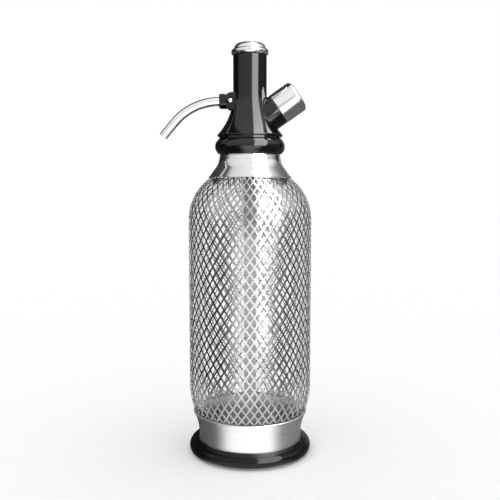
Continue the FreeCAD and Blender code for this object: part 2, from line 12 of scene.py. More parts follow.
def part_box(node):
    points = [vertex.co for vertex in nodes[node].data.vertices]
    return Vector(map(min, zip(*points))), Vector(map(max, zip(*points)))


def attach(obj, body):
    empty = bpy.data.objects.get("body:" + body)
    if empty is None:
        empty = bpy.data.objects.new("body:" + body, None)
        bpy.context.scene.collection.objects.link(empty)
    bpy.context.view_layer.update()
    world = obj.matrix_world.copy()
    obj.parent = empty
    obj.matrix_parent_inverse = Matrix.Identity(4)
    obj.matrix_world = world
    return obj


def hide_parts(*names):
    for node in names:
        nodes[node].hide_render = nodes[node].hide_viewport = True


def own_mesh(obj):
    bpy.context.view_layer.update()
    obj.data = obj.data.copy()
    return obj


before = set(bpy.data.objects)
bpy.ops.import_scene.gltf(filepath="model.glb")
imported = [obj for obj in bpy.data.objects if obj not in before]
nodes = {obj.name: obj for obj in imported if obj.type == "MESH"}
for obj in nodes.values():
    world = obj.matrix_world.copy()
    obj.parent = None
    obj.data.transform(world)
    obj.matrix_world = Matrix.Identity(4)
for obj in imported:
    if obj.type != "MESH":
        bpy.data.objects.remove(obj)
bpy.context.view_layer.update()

mm = 0.001

# ---------------------------------------------------------------- studio
# A camera at the height of the siphon's neck, a plain white floor and a room of soft light. Matt surfaces get
# it from all sides alike. Polished ones show a tall softbox that leans over the siphon from the right of the
# camera, a bright wall behind the camera, dark flags at the sides and a pale ceiling. Below these they show
# the floor with painted light and shade: a painted pool of light in front, the softbox's painted foot, and
# painted shade at the sides.

camera_place = Vector((0, -0.5635, 0.21755))
camera_tilt = 5.26             # degrees down
lens_length = 50               # millimetres, and the width of the film behind it
film_width = 36
floor_size = 12
softbox_light = 6.0
softbox_lean = 26.0            # degrees
softbox_edges = (12, 17, 53, 58)          # degrees to the right of the camera, soft at each side
softbox_low_edges = (12, 18, 29, 39)      # the same where it is painted on the floor as light
softbox_foot = (0.36, 0.46)               # metres from the siphon
low_softbox = 0.27                        # share of its light painted on the floor
far_softbox = 0.1                         # and beyond far_edge metres
far_edge = (0.90, 1.10)
walls = [                                 # degrees from the camera's side towards +X, and brightness
    (-180, 0.03), (-92, 0.02), (-78, 0.55), (-34, 0.70), (20, 0.70), (56, 0.60), (66, 0.30),
    (110, 0.20), (120, 0.02), (136, 0.02), (142, 0.40), (165, 0.40), (172, 0.03), (180, 0.03),
]
high_walls = [                            # the same above the heads
    (-180, 0.04), (-106, 0.06), (-92, 0.75), (-30, 0.95), (60, 1.00), (95, 0.95), (122, 0.26),
    (140, 0.16), (180, 0.10),
]
high_edge = (0.20, 0.34)                  # sine of the height at which these start
ceiling_light = 0.9
ceiling_edge = (0.95, 0.99)
far_floor_painted_light = [                             # painted light and shade of the floor that polished metal shows, by bearing
    (-180, 0.10), (-150, 0.06), (-50, 0.05), (-38, 0.25), (-26, 1.1), (-14, 1.9), (12, 1.9),
    (20, 1.1), (30, 0.9), (38, 0.35), (50, 0.14), (140, 0.14), (180, 0.10),
]
near_floor_painted_light = [                            # and within near_edge metres
    (-180, 0.04), (-75, 0.05), (-55, 0.10), (-32, 1.4), (30, 1.6), (52, 0.26), (90, 0.18), (180, 0.16),
]
near_edge = (0.11, 0.20)

scene = bpy.context.scene
scene.view_settings.view_transform = "Standard"

camera = bpy.data.objects.new("camera", bpy.data.cameras.new("camera"))
camera.data.lens = lens_length
camera.data.sensor_width = film_width
camera.location = camera_place
camera.rotation_euler = (math.radians(90 - camera_tilt), 0, 0)
scene.collection.objects.link(camera)
scene.camera = camera


def feed(tree, sockets, values):
    """Give each socket its value, which is a number or another node's output."""
    for socket, value in zip(sockets, values):
        if isinstance(value, (int, float)):
            socket.default_value = value
        else:
            tree.links.new(value, socket)


def math_node(tree, operation, first, second=0.0):
    """A Math node; each side is a number or another node's output."""
    node = tree.nodes.new("ShaderNodeMath")
    node.operation = operation
    feed(tree, node.inputs, (first, second))
    return node.outputs[0]


def soft_step(tree, value, low, high):
    """Rises smoothly from 0 at low to 1 at high."""
    node = tree.nodes.new("ShaderNodeMapRange")
    node.interpolation_type = "SMOOTHSTEP"
    node.inputs["From Min"].default_value = low
    node.inputs["From Max"].default_value = high
    tree.links.new(value, node.inputs["Value"])
    return node.outputs["Result"]


def bearing(tree, coordinates):
    """Degrees round the upright axis from the camera's side towards +X, and the height's own value."""
    split = tree.nodes.new("ShaderNodeSeparateXYZ")
    tree.links.new(coordinates, split.inputs[0])
    away = math_node(tree, "MULTIPLY", split.outputs["Y"], -1.0)
    turn = math_node(tree, "ARCTAN2", split.outputs["X"], away)
    return math_node(tree, "DEGREES", turn), split.outputs["Z"]


def by_bearing(tree, degrees, stops):
    """A brightness that runs through (degrees, brightness) stops."""
    ramp = tree.nodes.new("ShaderNodeFloatCurve")
    curve = ramp.mapping.curves[0]
    most = max(light for turn, light in stops)
    ramp.mapping.use_clip = False
    while len(curve.points) < len(stops):
        curve.points.new(0.5, 0.5)
    for point, (turn, light) in zip(curve.points, stops):
        point.location = ((turn + 180) / 360, light / most)
        point.handle_type = "VECTOR"
    ramp.mapping.update()
    share = math_node(tree, "DIVIDE", math_node(tree, "ADD", degrees, 180.0), 360.0)
    tree.links.new(share, ramp.inputs["Value"])
    return math_node(tree, "MULTIPLY", ramp.outputs[0], most)


def blend_values(tree, share, first, second):
    """first where share is 0 and second where it is 1."""
    node = tree.nodes.new("ShaderNodeMix")
    node.data_type = "FLOAT"
    feed(tree, (node.inputs[0], node.inputs[2], node.inputs[3]), (share, first, second))
    return node.outputs[0]


def between(tree, value, edges):
    """1 between two soft edges, and 0 beside them."""
    rising = soft_step(tree, value, *edges[:2])
    falling = soft_step(tree, value, *edges[2:])
    return math_node(tree, "SUBTRACT", rising, falling)


def seen_by_polish(tree):
    """1 for light mirrored by a surface, 0 for the camera, matt surfaces and what is seen through glass."""
    path = tree.nodes.new("ShaderNodeLightPath")
    glossy, transmitted = path.outputs["Is Glossy Ray"], path.outputs["Is Transmission Ray"]
    return math_node(tree, "MAXIMUM", math_node(tree, "SUBTRACT", glossy, transmitted), 0.0)


world = bpy.data.worlds.new("studio")
world.use_nodes = True
world.cycles.sampling_method = "NONE"
scene.world = world
tree = world.node_tree
coordinates = tree.nodes.new("ShaderNodeTexCoord").outputs["Generated"]
turn, height = bearing(tree, coordinates)
room = blend_values(tree, soft_step(tree, height, *high_edge),
                    by_bearing(tree, turn, walls), by_bearing(tree, turn, high_walls))
room = blend_values(tree, soft_step(tree, height, *ceiling_edge), room, ceiling_light)
leaning = tree.nodes.new("ShaderNodeVectorRotate")
leaning.rotation_type = "X_AXIS"
leaning.inputs["Angle"].default_value = math.radians(softbox_lean)
tree.links.new(coordinates, leaning.inputs["Vector"])
softbox = between(tree, bearing(tree, leaning.outputs["Vector"])[0], softbox_edges)
polished = math_node(tree, "ADD", room, math_node(tree, "MULTIPLY", softbox, softbox_light))
background = tree.nodes["Background"]
background.inputs["Color"].default_value = (1, 1, 1, 1)
tree.links.new(blend_values(tree, seen_by_polish(tree), 1.0, polished), background.inputs["Strength"])

bpy.ops.object.select_all(action="DESELECT")
bpy.ops.mesh.primitive_plane_add(size=floor_size)
floor = bpy.context.object
floor.name = "floor"
floor_paint = bpy.data.materials.new("white_floor")
floor_paint.use_nodes = True
tree = floor_paint.node_tree
shader = tree.nodes["Principled BSDF"]
shader.inputs["Roughness"].default_value = 1.0
shader.inputs["Specular IOR Level"].default_value = 0.0
coordinates = tree.nodes.new("ShaderNodeTexCoord").outputs["Object"]
turn, height = bearing(tree, coordinates)
distance = tree.nodes.new("ShaderNodeVectorMath")
distance.operation = "LENGTH"
tree.links.new(coordinates, distance.inputs[0])
distance = distance.outputs["Value"]
# For rays mirrored by polished surfaces the floor is black and glows with painted light and shade: bright in
# front, painted shade at the sides. Camera and matt rays see it plain white.
floor_painted_glow = blend_values(tree, soft_step(tree, distance, *near_edge),
                              by_bearing(tree, turn, near_floor_painted_light), by_bearing(tree, turn, far_floor_painted_light))
polish = seen_by_polish(tree)
# The softbox's foot, painted on the floor as a band of light.
softbox = between(tree, turn, softbox_low_edges)
softbox = math_node(tree, "MULTIPLY", softbox, soft_step(tree, distance, *softbox_foot))
fading = blend_values(tree, soft_step(tree, distance, *far_edge),
                      softbox_light * low_softbox, softbox_light * far_softbox)
floor_painted_glow = math_node(tree, "ADD", floor_painted_glow, math_node(tree, "MULTIPLY", softbox, fading))
tree.links.new(blend_values(tree, polish, 1.0, 0.0), shader.inputs["Base Color"])
tree.links.new(math_node(tree, "MULTIPLY", polish, floor_painted_glow), shader.inputs["Emission Strength"])
floor.data.materials.append(floor_paint)

# ---------------------------------------------------------------- foot
# A black moulded disc with a rounded bead round it and a raised lip that the cup stands in.
# Moulded in one piece from glossy phenolic plastic and glued under the cup.

foot_bead = 8.8 * mm           # height of the bead's upper corner
foot_low_round = 4.3 * mm
foot_high_round = 5.5 * mm
foot_lip = 0.8 * mm
foot_corner = 0.3 * mm
foot_bore = 42.1 * mm
longest_arc = 0.995            # share of the shorter side that a rounded corner may take up
one_place = 0.003 * mm         # points closer than this are merged
pole = 0.001 * mm              # radius of the circle that stands for a point on the axis
noise_ends = (0.3, 0.7)        # nearly all of a texture's values lie between these
ring_wander = 0.02             # how fast turning marks change round a ring


def rounded(corners, steps=6):
    """Points through (radius, height) corners; a third number rounds that corner by an arc."""
    points = [Vector(corners[0][:2])]
    for here, after in zip(corners[1:], corners[2:]):
        corner = Vector(here[:2])
        onward = Vector(after[:2]) - corner
        if len(here) < 3:
            points.append(corner)
            continue
        way_in = (corner - points[-1]).normalized()
        way_out = onward.normalized()
        turn = way_in.angle(way_out)
        room = longest_arc * min((corner - points[-1]).length, onward.length)
        reach = min(here[2] * math.tan(turn / 2), room)
        start = corner - way_in * reach
        middle = (way_out - way_in).normalized()
        centre = corner + middle * (reach / math.sin(turn / 2))
        spoke = start - centre
        clockwise = way_in.x * way_out.y - way_in.y * way_out.x < 0
        for step in range(steps + 1):
            angle = turn * step / steps * (-1 if clockwise else 1)
            points.append(centre + Matrix.Rotation(angle, 2) @ spoke)
    points.append(Vector(corners[-1][:2]))
    return points


def cleaned(piece, smooth_angle=35):
    """Close seams and poles, turn the faces outwards and smooth all but the sharp edges."""
    bpy.ops.object.mode_set(mode="EDIT")
    bpy.ops.mesh.select_all(action="SELECT")
    bpy.ops.mesh.remove_doubles(threshold=one_place)
    bpy.ops.mesh.normals_make_consistent(inside=False)
    bpy.ops.object.mode_set(mode="OBJECT")
    bpy.ops.object.shade_smooth_by_angle(angle=math.radians(smooth_angle))
    return piece


def turned(name, outline, segments=96):
    """Turn (radius, height) points about Z: a circle is drawn out from each point to the next."""
    radius, height = outline[0]
    bpy.ops.object.select_all(action="DESELECT")
    bpy.ops.mesh.primitive_circle_add(vertices=segments, radius=max(radius, pole), location=(0, 0, height))
    piece = bpy.context.object
    piece.name = name
    bpy.ops.object.transform_apply()
    bpy.ops.object.mode_set(mode="EDIT")
    for next_radius, next_height in outline[1:]:
        rise = (0, 0, next_height - height)
        spread = max(next_radius, pole) / max(radius, pole)
        bpy.ops.mesh.extrude_region_move(TRANSFORM_OT_translate={"value": rise})
        bpy.ops.transform.resize(value=(spread, spread, 1), center_override=(0, 0, next_height))
        radius, height = next_radius, next_height
    bpy.ops.object.mode_set(mode="OBJECT")
    return cleaned(piece)


def shader_of(material):
    return material.node_tree.nodes["Principled BSDF"]


def finish(name, **settings):
    """A material: settings that are the same all over stand on the shader's own sockets."""
    made = bpy.data.materials.new(name)
    made.use_nodes = True
    for setting, value in settings.items():
        shader_of(made).inputs[setting.replace("_", " ")].default_value = value
    return made


def texture(material, scale, detail=3.0):
    """Noise from 0 to 1, with one scale in cells per metre, or one along each of the piece's axes."""
    stretch = (scale,) * 3 if isinstance(scale, (int, float)) else scale
    tree = material.node_tree
    mapping = tree.nodes.new("ShaderNodeMapping")
    noise = tree.nodes.new("ShaderNodeTexNoise")
    mapping.inputs["Scale"].default_value = stretch
    noise.inputs["Scale"].default_value = 1.0
    noise.inputs["Detail"].default_value = detail
    tree.links.new(tree.nodes.new("ShaderNodeTexCoord").outputs["Object"], mapping.inputs["Vector"])
    tree.links.new(mapping.outputs["Vector"], noise.inputs["Vector"])
    return noise.outputs["Fac"]


def turning_marks(material, pitch):
    """Noise in fine rings about the upright axis, as a lathe or a polishing mop leaves it."""
    tree = material.node_tree
    split = tree.nodes.new("ShaderNodeSeparateXYZ")
    join = tree.nodes.new("ShaderNodeCombineXYZ")
    noise = tree.nodes.new("ShaderNodeTexNoise")
    noise.inputs["Scale"].default_value = 1 / pitch
    tree.links.new(tree.nodes.new("ShaderNodeTexCoord").outputs["Object"], split.inputs[0])
    across = math_node(tree, "MULTIPLY", split.outputs["X"], split.outputs["X"])
    along = math_node(tree, "MULTIPLY", split.outputs["Y"], split.outputs["Y"])
    tree.links.new(math_node(tree, "SQRT", math_node(tree, "ADD", across, along)), join.inputs["X"])
    tree.links.new(math_node(tree, "MULTIPLY", split.outputs["Y"], ring_wander), join.inputs["Y"])
    tree.links.new(split.outputs["Z"], join.inputs["Z"])
    tree.links.new(join.outputs["Vector"], noise.inputs["Vector"])
    return noise.outputs["Fac"]


def vary(material, socket, source, low, high):
    """A shader setting that wanders between two values with a texture."""
    tree = material.node_tree
    node = tree.nodes.new("ShaderNodeMapRange")
    feed(tree, node.inputs[1:5], (*noise_ends, low, high))
    tree.links.new(source, node.inputs["Value"])
    tree.links.new(node.outputs["Result"], shader_of(material).inputs[socket])


def tint(material, source, first, second):
    """A base colour that wanders between two with a texture."""
    tree = material.node_tree
    ramp = tree.nodes.new("ShaderNodeValToRGB")
    for element, position, colour in zip(ramp.color_ramp.elements, noise_ends, (first, second)):
        element.position = position
        element.color = (*colour, 1)
    tree.links.new(source, ramp.inputs["Fac"])
    tree.links.new(ramp.outputs["Color"], shader_of(material).inputs["Base Color"])


def relief(material, source, depth, strength=1.0):
    """Small hills and hollows of a texture, this deep."""
    tree = material.node_tree
    bump = tree.nodes.new("ShaderNodeBump")
    bump.inputs["Distance"].default_value = depth
    bump.inputs["Strength"].default_value = strength
    tree.links.new(source, bump.inputs["Height"])
    tree.links.new(bump.outputs["Normal"], shader_of(material).inputs["Normal"])


def place(piece, material, body, slot, *replaced):
    """Give a finished piece its material, its body and the nodes it stands for."""
    piece.data.materials.clear()
    piece.data.materials.append(material)
    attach(piece, body)
    if replaced:
        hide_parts(*replaced)
    return piece


black_moulding = finish("black_moulding", Specular_IOR_Level=0.6)
vary(black_moulding, "Roughness", texture(black_moulding, 90), 0.04, 0.09)
tint(black_moulding, texture(black_moulding, 35), (0.0015, 0.0015, 0.002), (0.004, 0.0035, 0.004))
relief(black_moulding, texture(black_moulding, 160), 0.012 * mm)

foot_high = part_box("base_foot")[1]
cup_low, cup_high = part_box("bottom_cup")
foot_radius = foot_high.x
foot_height = foot_high.z
foot_floor = cup_low.z
foot = turned("foot", rounded([
    (0, 0),
    (foot_radius, 0, foot_low_round),
    (foot_radius, foot_bead, foot_high_round),
    (foot_bore + foot_lip, foot_height, foot_corner),
    (foot_bore, foot_height, foot_corner),
    (foot_bore, foot_floor),
    (0, foot_floor),
], steps=12), segments=160)
foot_moulding = finish("foot_moulding", Specular_IOR_Level=0.27)
vary(foot_moulding, "Roughness", texture(foot_moulding, 70), 0.08, 0.15)
tint(foot_moulding, texture(foot_moulding, 30), (0.003, 0.003, 0.0035), (0.006, 0.0055, 0.006))
relief(foot_moulding, texture(foot_moulding, 160), 0.012 * mm)
place(foot, foot_moulding, "bottle", "black_moulding", "base_foot")

# ---------------------------------------------------------------- cup and cushion
# A spun aluminium cup, satin outside, that carries the glass on a pad of pale rubber.
# Its rim is turned over and polished, and the wire sleeve starts at it.

cup_wall = 1.0 * mm
cup_foot_radius = 42.0 * mm
cup_rim_radius = 46.1 * mm
cup_hollow = 2.7 * mm          # how far the flare's corner lies inside its chord
cup_flare_round = 49.5 * mm
cup_foot_round = 0.6 * mm
cup_hem = 0.35 * mm            # the hem's width, and its height with its two rounded edges
cup_hem_height = 1.0 * mm
cup_hem_low_edge = 0.15 * mm
cup_hem_high_edge = 0.35 * mm


def offset(points, depth):
    """The same line moved square to itself, towards the axis."""
    moved = []
    for i, point in enumerate(points):
        way = points[min(i + 1, len(points) - 1)] - points[max(i - 1, 0)]
        way.normalize()
        moved.append(point + Vector((-way.y, way.x)) * depth)
    return moved


satin_cup_metal = finish("satin_cup_metal", Metallic=0.9, Anisotropic=0.5)
vary(satin_cup_metal, "Roughness", texture(satin_cup_metal, (60, 60, 400)), 0.27, 0.36)
tint(satin_cup_metal, turning_marks(satin_cup_metal, 0.5 * mm), (0.74, 0.73, 0.74), (0.82, 0.81, 0.82))
relief(satin_cup_metal, turning_marks(satin_cup_metal, 0.16 * mm), 0.004 * mm)

cup_middle = Vector(((cup_foot_radius + cup_rim_radius) / 2, (foot_height + cup_high.z) / 2))
cup_line = rounded([
    (cup_foot_radius, foot_floor, cup_foot_round),
    (cup_foot_radius, foot_height),
    (cup_middle.x - cup_hollow, cup_middle.y, cup_flare_round),
    (cup_rim_radius, cup_high.z - cup_hem_height),
], steps=14)
cup_hem_line = [
    Vector((cup_rim_radius + cup_hem, cup_high.z - cup_hem_height + cup_hem_low_edge)),
    Vector((cup_rim_radius + cup_hem, cup_high.z - cup_hem_high_edge)),
    Vector((cup_rim_radius, cup_high.z)),
    Vector((cup_rim_radius - cup_wall, cup_high.z)),
]
cup_inside = [point for point in offset(cup_line, cup_wall)[::-1] if point.y > foot_floor + cup_wall]
cup_inside.append(Vector((cup_foot_radius - cup_wall, foot_floor + cup_wall)))
cup_inside.append(Vector((0, foot_floor + cup_wall)))
cup = turned("cup", [Vector((0, foot_floor))] + cup_line + cup_hem_line + cup_inside, segments=160)
place(cup, satin_cup_metal, "bottle", "satin_cup_metal", "bottom_cup")

pale_rubber = finish("pale_rubber", Roughness=0.6)
tint(pale_rubber, texture(pale_rubber, 80), (0.87, 0.87, 0.85), (0.92, 0.92, 0.90))
relief(pale_rubber, texture(pale_rubber, 900), 0.02 * mm)

# ---------------------------------------------------------------- wire sleeve
# A net of steel wire round the glass: flattened strands that run together where they cross, drawn
# narrower over the shoulder and the heel. Its ends are tucked under the collar and behind the cup.
# Here it is one open sheet, halfway through the depth of the strands, and has no thickness of its own.

cells_round = 47
strand_side = 5.694 * mm       # of one diamond, from crossing to crossing
strand_width = 1.05 * mm
strand_depth = 0.85 * mm       # the sheet lies half of this below the sleeve's face
strand_crown = 0.80            # share of the half width inside the strand's inner corners
heel_taper = 23.6              # lean of the wall under the belly, degrees
heel_rise = 9.93 * mm
heel_round = 51.6 * mm
body_length = 165.72 * mm
shoulder_round = 41.5 * mm
shoulder_lean = 50.0           # degrees from upright
neck_round = 12.05 * mm
glass_depth = 1.95 * mm        # glass face below the sleeve's face
glass_heel_round = 12.0 * mm
glass_neck_radius = 18.5 * mm
tuck_height = 1.3 * mm         # how far the ends reach past the cup's rim
tuck_depth = 1.15 * mm
net_crossing = 123.8 * mm      # height of a crossing that faces the front
rows_past_top = 4              # rows of crossings made beyond the ends, to be cut off
rows_past_foot = 3
heel_painted_light_heights = (40 * mm, 72 * mm)         # nearly matt grey where the heel begins and metal above: painted light for what round strands catch there

sleeve_low, sleeve_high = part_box("wire_mesh_sleeve")
glass_low, glass_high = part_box("glass_bottle")
sleeve_radius = -sleeve_low.y
heel_height = sleeve_low.z + heel_rise
shoulder_height = heel_height + body_length
neck_line_radius = glass_neck_radius + glass_depth
base_line = glass_low.z - glass_depth
base_radius = sleeve_radius - (heel_height - base_line) * math.tan(math.radians(heel_taper))
shoulder_rise = (sleeve_radius - neck_line_radius) / math.tan(math.radians(shoulder_lean))
wall_line = rounded([
    (0, base_line),
    (base_radius, base_line, glass_heel_round + glass_depth),
    (sleeve_radius, heel_height, heel_round),
    (sleeve_radius, shoulder_height, shoulder_round),
    (neck_line_radius, shoulder_height + shoulder_rise, neck_round),
    (neck_line_radius, glass_high.z),
], steps=20)
net_line = offset(wall_line, strand_depth / 2)

half_width = math.pi * sleeve_radius / cells_round
half_height = math.sqrt(strand_side ** 2 - half_width ** 2)
heights = [point.y for point in net_line]
lengths = [0.0]
steps = [0.0]                  # the same way up, in rows of crossings
for first, second in zip(net_line, net_line[1:]):
    length = (second - first).length
    half_cell = math.pi * (first.x + second.x) / 2 / cells_round
    lengths.append(lengths[-1] + length)
    steps.append(steps[-1] + length / math.sqrt(strand_side ** 2 - half_cell ** 2))


def read_off(value, given, wanted):
    """What the wanted list holds where the given, rising list reaches a value."""
    i = 1
    while i < len(given) - 1 and given[i] < value:
        i += 1
    share = (value - given[i - 1]) / (given[i] - given[i - 1])
    return wanted[i - 1] + share * (wanted[i] - wanted[i - 1])


def on_net_line(length):
    """Radius and height and the way outwards on the sleeve's line, this far along it."""
    reach = 0.2 * mm
    way = read_off(length + reach, lengths, net_line) - read_off(length - reach, lengths, net_line)
    way.normalize()
    return read_off(length, lengths, net_line), Vector((way.y, -way.x))


level = read_off(net_crossing, heights, steps)
up_to_level = level - read_off(sleeve_low.z, heights, steps)
up_from_level = read_off(sleeve_high.z, heights, steps) - level
rows_below = round(up_to_level)
rows_above = round(up_from_level)
first_row = -rows_below - rows_past_foot + rows_below % 2
rows = [level + up_to_level * k / rows_below for k in range(first_row, 0)]
rows += [level + up_from_level * k / rows_above for k in range(rows_above + rows_past_top)]
rows = [read_off(row, steps, lengths) for row in rows]

bpy.ops.object.select_all(action="DESELECT")
bpy.ops.mesh.primitive_circle_add(vertices=4, radius=1.0, fill_type="NGON", location=(0, 0, 0))
net = bpy.context.object
net.name = "wire_net_lower"
bpy.ops.object.mode_set(mode="EDIT")
bpy.ops.transform.resize(value=(half_width, half_height, 1), center_override=(0, 0, 0))
bpy.ops.mesh.subdivide(number_cuts=2)
bpy.ops.mesh.select_all(action="SELECT")
crown = strand_crown * strand_width / 2
bpy.ops.mesh.inset(thickness=crown, depth=0)
bpy.ops.mesh.inset(thickness=strand_width / 2 - crown, depth=0)
bpy.ops.mesh.vertices_smooth(factor=0.5)
bpy.ops.mesh.delete(type="FACE")
bpy.ops.object.mode_set(mode="OBJECT")
across = net.modifiers.new("across", "ARRAY")
across.count = cells_round
across.use_relative_offset = False
across.use_constant_offset = True
across.constant_offset_displace = (2 * half_width, 0, 0)
upwards = net.modifiers.new("upwards", "ARRAY")
upwards.count = len(rows) - 1
upwards.use_relative_offset = False
upwards.use_constant_offset = True
upwards.constant_offset_displace = (half_width, half_height, 0)
for modifier in (across, upwards):
    bpy.ops.object.modifier_apply(modifier=modifier.name)

rim_length = read_off(sleeve_low.z + tuck_height, heights, lengths)
for vertex in net.data.vertices:
    row = max(vertex.co.y / half_height, 0)
    whole = min(int(row), len(rows) - 2)
    length = rows[whole] + (row - whole) * (rows[whole + 1] - rows[whole])
    point, outwards = on_net_line(length)
    tuck = max(0.0, min(1.0, (rim_length - length) / (2 * tuck_height)))
    point = point - outwards * tuck * tuck_depth
    turn = math.pi * vertex.co.x / (cells_round * half_width)
    vertex.co = (point.x * math.sin(turn), -point.x * math.cos(turn), point.y)


def pick(piece):
    """Select one piece alone."""
    bpy.ops.object.select_all(action="DESELECT")
    piece.select_set(True)
    bpy.context.view_layer.objects.active = piece


def cut_level(piece, height, keep_above):
    """Cut a piece at a height and keep what is above it or below it."""
    pick(piece)
    bpy.ops.object.mode_set(mode="EDIT")
    bpy.ops.mesh.select_all(action="SELECT")
    bpy.ops.mesh.bisect(plane_co=(0, 0, height), plane_no=(0, 0, 1),
                        clear_inner=keep_above, clear_outer=not keep_above)
    bpy.ops.object.mode_set(mode="OBJECT")


cleaned(net)
cut_level(net, sleeve_low.z - tuck_height, keep_above=True)
cut_level(net, sleeve_high.z, keep_above=False)
net_upper = net.copy()
net_upper.data = net.data.copy()
net_upper.name = "wire_net_upper"
scene.collection.objects.link(net_upper)
net_middle = (sleeve_low.z + sleeve_high.z) / 2
cut_level(net, net_middle, keep_above=False)
cut_level(net_upper, net_middle, keep_above=True)


def vary_upwards(material, socket, heights, low, high):
    """A shader setting that runs from one value to another between two heights."""
    tree = material.node_tree
    split = tree.nodes.new("ShaderNodeSeparateXYZ")
    node = tree.nodes.new("ShaderNodeMapRange")
    feed(tree, node.inputs[1:5], (*heights, low, high))
    tree.links.new(tree.nodes.new("ShaderNodeTexCoord").outputs["Object"], split.inputs[0])
    tree.links.new(split.outputs["Z"], node.inputs["Value"])
    tree.links.new(node.outputs["Result"], shader_of(material).inputs[socket])


sleeve_wire = finish("sleeve_wire")
vary(sleeve_wire, "Roughness", texture(sleeve_wire, 150), 0.14, 0.28)
tint(sleeve_wire, texture(sleeve_wire, 700), (0.38, 0.38, 0.38), (0.54, 0.54, 0.535))
relief(sleeve_wire, texture(sleeve_wire, 1500), 0.01 * mm)
# Below the heel the wire turns nearly matt and shows its grey evenly lit. This is painted light in place of
# the light that round strands would catch from above and below.
vary_upwards(sleeve_wire, "Metallic", heel_painted_light_heights, 0.1, 1.0)
for piece in (net, net_upper):
    place(piece, sleeve_wire, "bottle", "sleeve_wire", "wire_mesh_sleeve")

# ---------------------------------------------------------------- glass bottle
# Blown clear glass with a thick wall, a heavier floor that rises a little in the middle and a
# fire-polished lip that the head's seal sits on.

glass_wall = 4.5 * mm
glass_floor_rise = 1.5 * mm
lip_round = 0.9 * mm
lip_height = 3.0 * mm

clear_glass = finish("clear_glass", Base_Color=(0.985, 0.992, 0.99, 1), IOR=1.5, Transmission_Weight=1.0)
relief(clear_glass, texture(clear_glass, (28, 28, 18), detail=1.0), 0.06 * mm)
vary(clear_glass, "Roughness", texture(clear_glass, 50), 0.0, 0.012)

glass_outside = offset(wall_line, glass_depth)
glass_inside = offset(wall_line, glass_depth + glass_wall)
glass_outside[0].x = 0
glass_inside[0].x = 0
glass_inside[0].y += glass_floor_rise
glass_top = glass_high.z
neck_radius = glass_outside[-1].x
bore_radius = glass_inside[-1].x
lip = rounded([
    (neck_radius, glass_top - lip_height),
    (neck_radius, glass_top, lip_round),
    (bore_radius, glass_top, lip_round),
    (bore_radius, glass_top - lip_height),
])
glass = turned("glass", glass_outside[:-1] + lip + glass_inside[-2::-1], segments=160)
place(glass, clear_glass, "bottle", "clear_glass", "glass_bottle")

# ---------------------------------------------------------------- neck collar
# A spun aluminium collar, polished, with a small rolled hem at each end. It hides the net's upper end
# and the glue of the threaded ring.

collar_wall = 1.1 * mm
collar_kink = 7.4 * mm
collar_kink_radius = 25.15 * mm
collar_top_radius = 24.2 * mm
collar_round = 15.0 * mm
collar_hem = 0.35 * mm         # the lower hem, with its two rounded edges
collar_hem_height = 0.9 * mm
collar_hem_low_edge = 0.05 * mm
collar_hem_high_edge = 0.25 * mm
collar_bead = 0.2 * mm         # the upper hem, and how far its edges lie below the top
collar_bead_start = 0.8 * mm
collar_bead_low = 0.6 * mm
collar_bead_high = 0.1 * mm

collar_low, collar_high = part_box("neck_collar")
polished_collar_metal = finish("polished_collar_metal", Metallic=1.0)
vary(polished_collar_metal, "Roughness", texture(polished_collar_metal, (70, 70, 300)), 0.09, 0.17)
collar_marks = turning_marks(polished_collar_metal, 0.6 * mm)
tint(polished_collar_metal, collar_marks, (0.80, 0.80, 0.81), (0.88, 0.88, 0.89))
relief(polished_collar_metal, turning_marks(polished_collar_metal, 0.2 * mm), 0.002 * mm)

collar_line = rounded([
    (collar_high.x, collar_low.z),
    (collar_kink_radius, collar_high.z - collar_kink, collar_round),
    (collar_top_radius, collar_high.z),
], steps=16)
collar_inside = offset(collar_line, collar_wall)
hem_way = (collar_line[1] - collar_line[0]).normalized()
hem_out = Vector((hem_way.y, -hem_way.x))
hem_start = collar_line[0] - hem_out * collar_hem
collar_line = [
    hem_start,
    hem_start + hem_way * collar_hem_low_edge + hem_out * collar_hem,
    hem_start + hem_way * collar_hem_height + hem_out * collar_hem,
    hem_start + hem_way * (collar_hem_height + collar_hem_high_edge),
] + collar_line[1:-1] + [
    Vector((collar_top_radius, collar_high.z - collar_bead_start)),
    Vector((collar_top_radius + collar_bead, collar_high.z - collar_bead_low)),
    Vector((collar_top_radius + collar_bead, collar_high.z - collar_bead_high)),
    Vector((collar_top_radius, collar_high.z)),
]
collar = turned("collar", collar_line + collar_inside[::-1] + collar_line[:1], segments=160)
place(collar, polished_collar_metal, "bottle", "polished_collar_metal", "neck_collar")

# ---------------------------------------------------------------- neck thread
# An aluminium ring glued round the glass neck over a packing. The head screws on to its coarse thread.

neck_thread_depth = 1.0 * mm
neck_thread_pitch = 3.0 * mm
ring_bore = 19.6 * mm
ring_edge = 0.3 * mm
ring_top_edge = 0.5 * mm
coil_steps = 48                # straight parts in one turn of a thread or a spring


def wound(name, sides, size, radius, bottom, pitch, turns):
    """A coil round Z whose section has this many sides, closed at both ends."""
    bpy.ops.object.select_all(action="DESELECT")
    bpy.ops.mesh.primitive_circle_add(vertices=sides, radius=size, location=(radius, 0, bottom + size),
                                      rotation=(math.radians(90), math.radians(90), 0), fill_type="NOTHING")
    coil = bpy.context.object
    coil.name = name
    bpy.ops.object.transform_apply()
    screw = coil.modifiers.new("turns", "SCREW")
    screw.screw_offset = pitch
    screw.iterations = turns
    screw.steps = coil_steps
    screw.render_steps = coil_steps
    bpy.ops.object.modifier_apply(modifier="turns")
    bpy.ops.object.mode_set(mode="EDIT")
    bpy.ops.mesh.select_all(action="DESELECT")
    bpy.ops.mesh.select_mode(type="EDGE")
    bpy.ops.mesh.select_non_manifold()
    bpy.ops.mesh.edge_face_add()
    bpy.ops.mesh.select_mode(type="VERT")
    bpy.ops.object.mode_set(mode="OBJECT")
    return cleaned(coil)


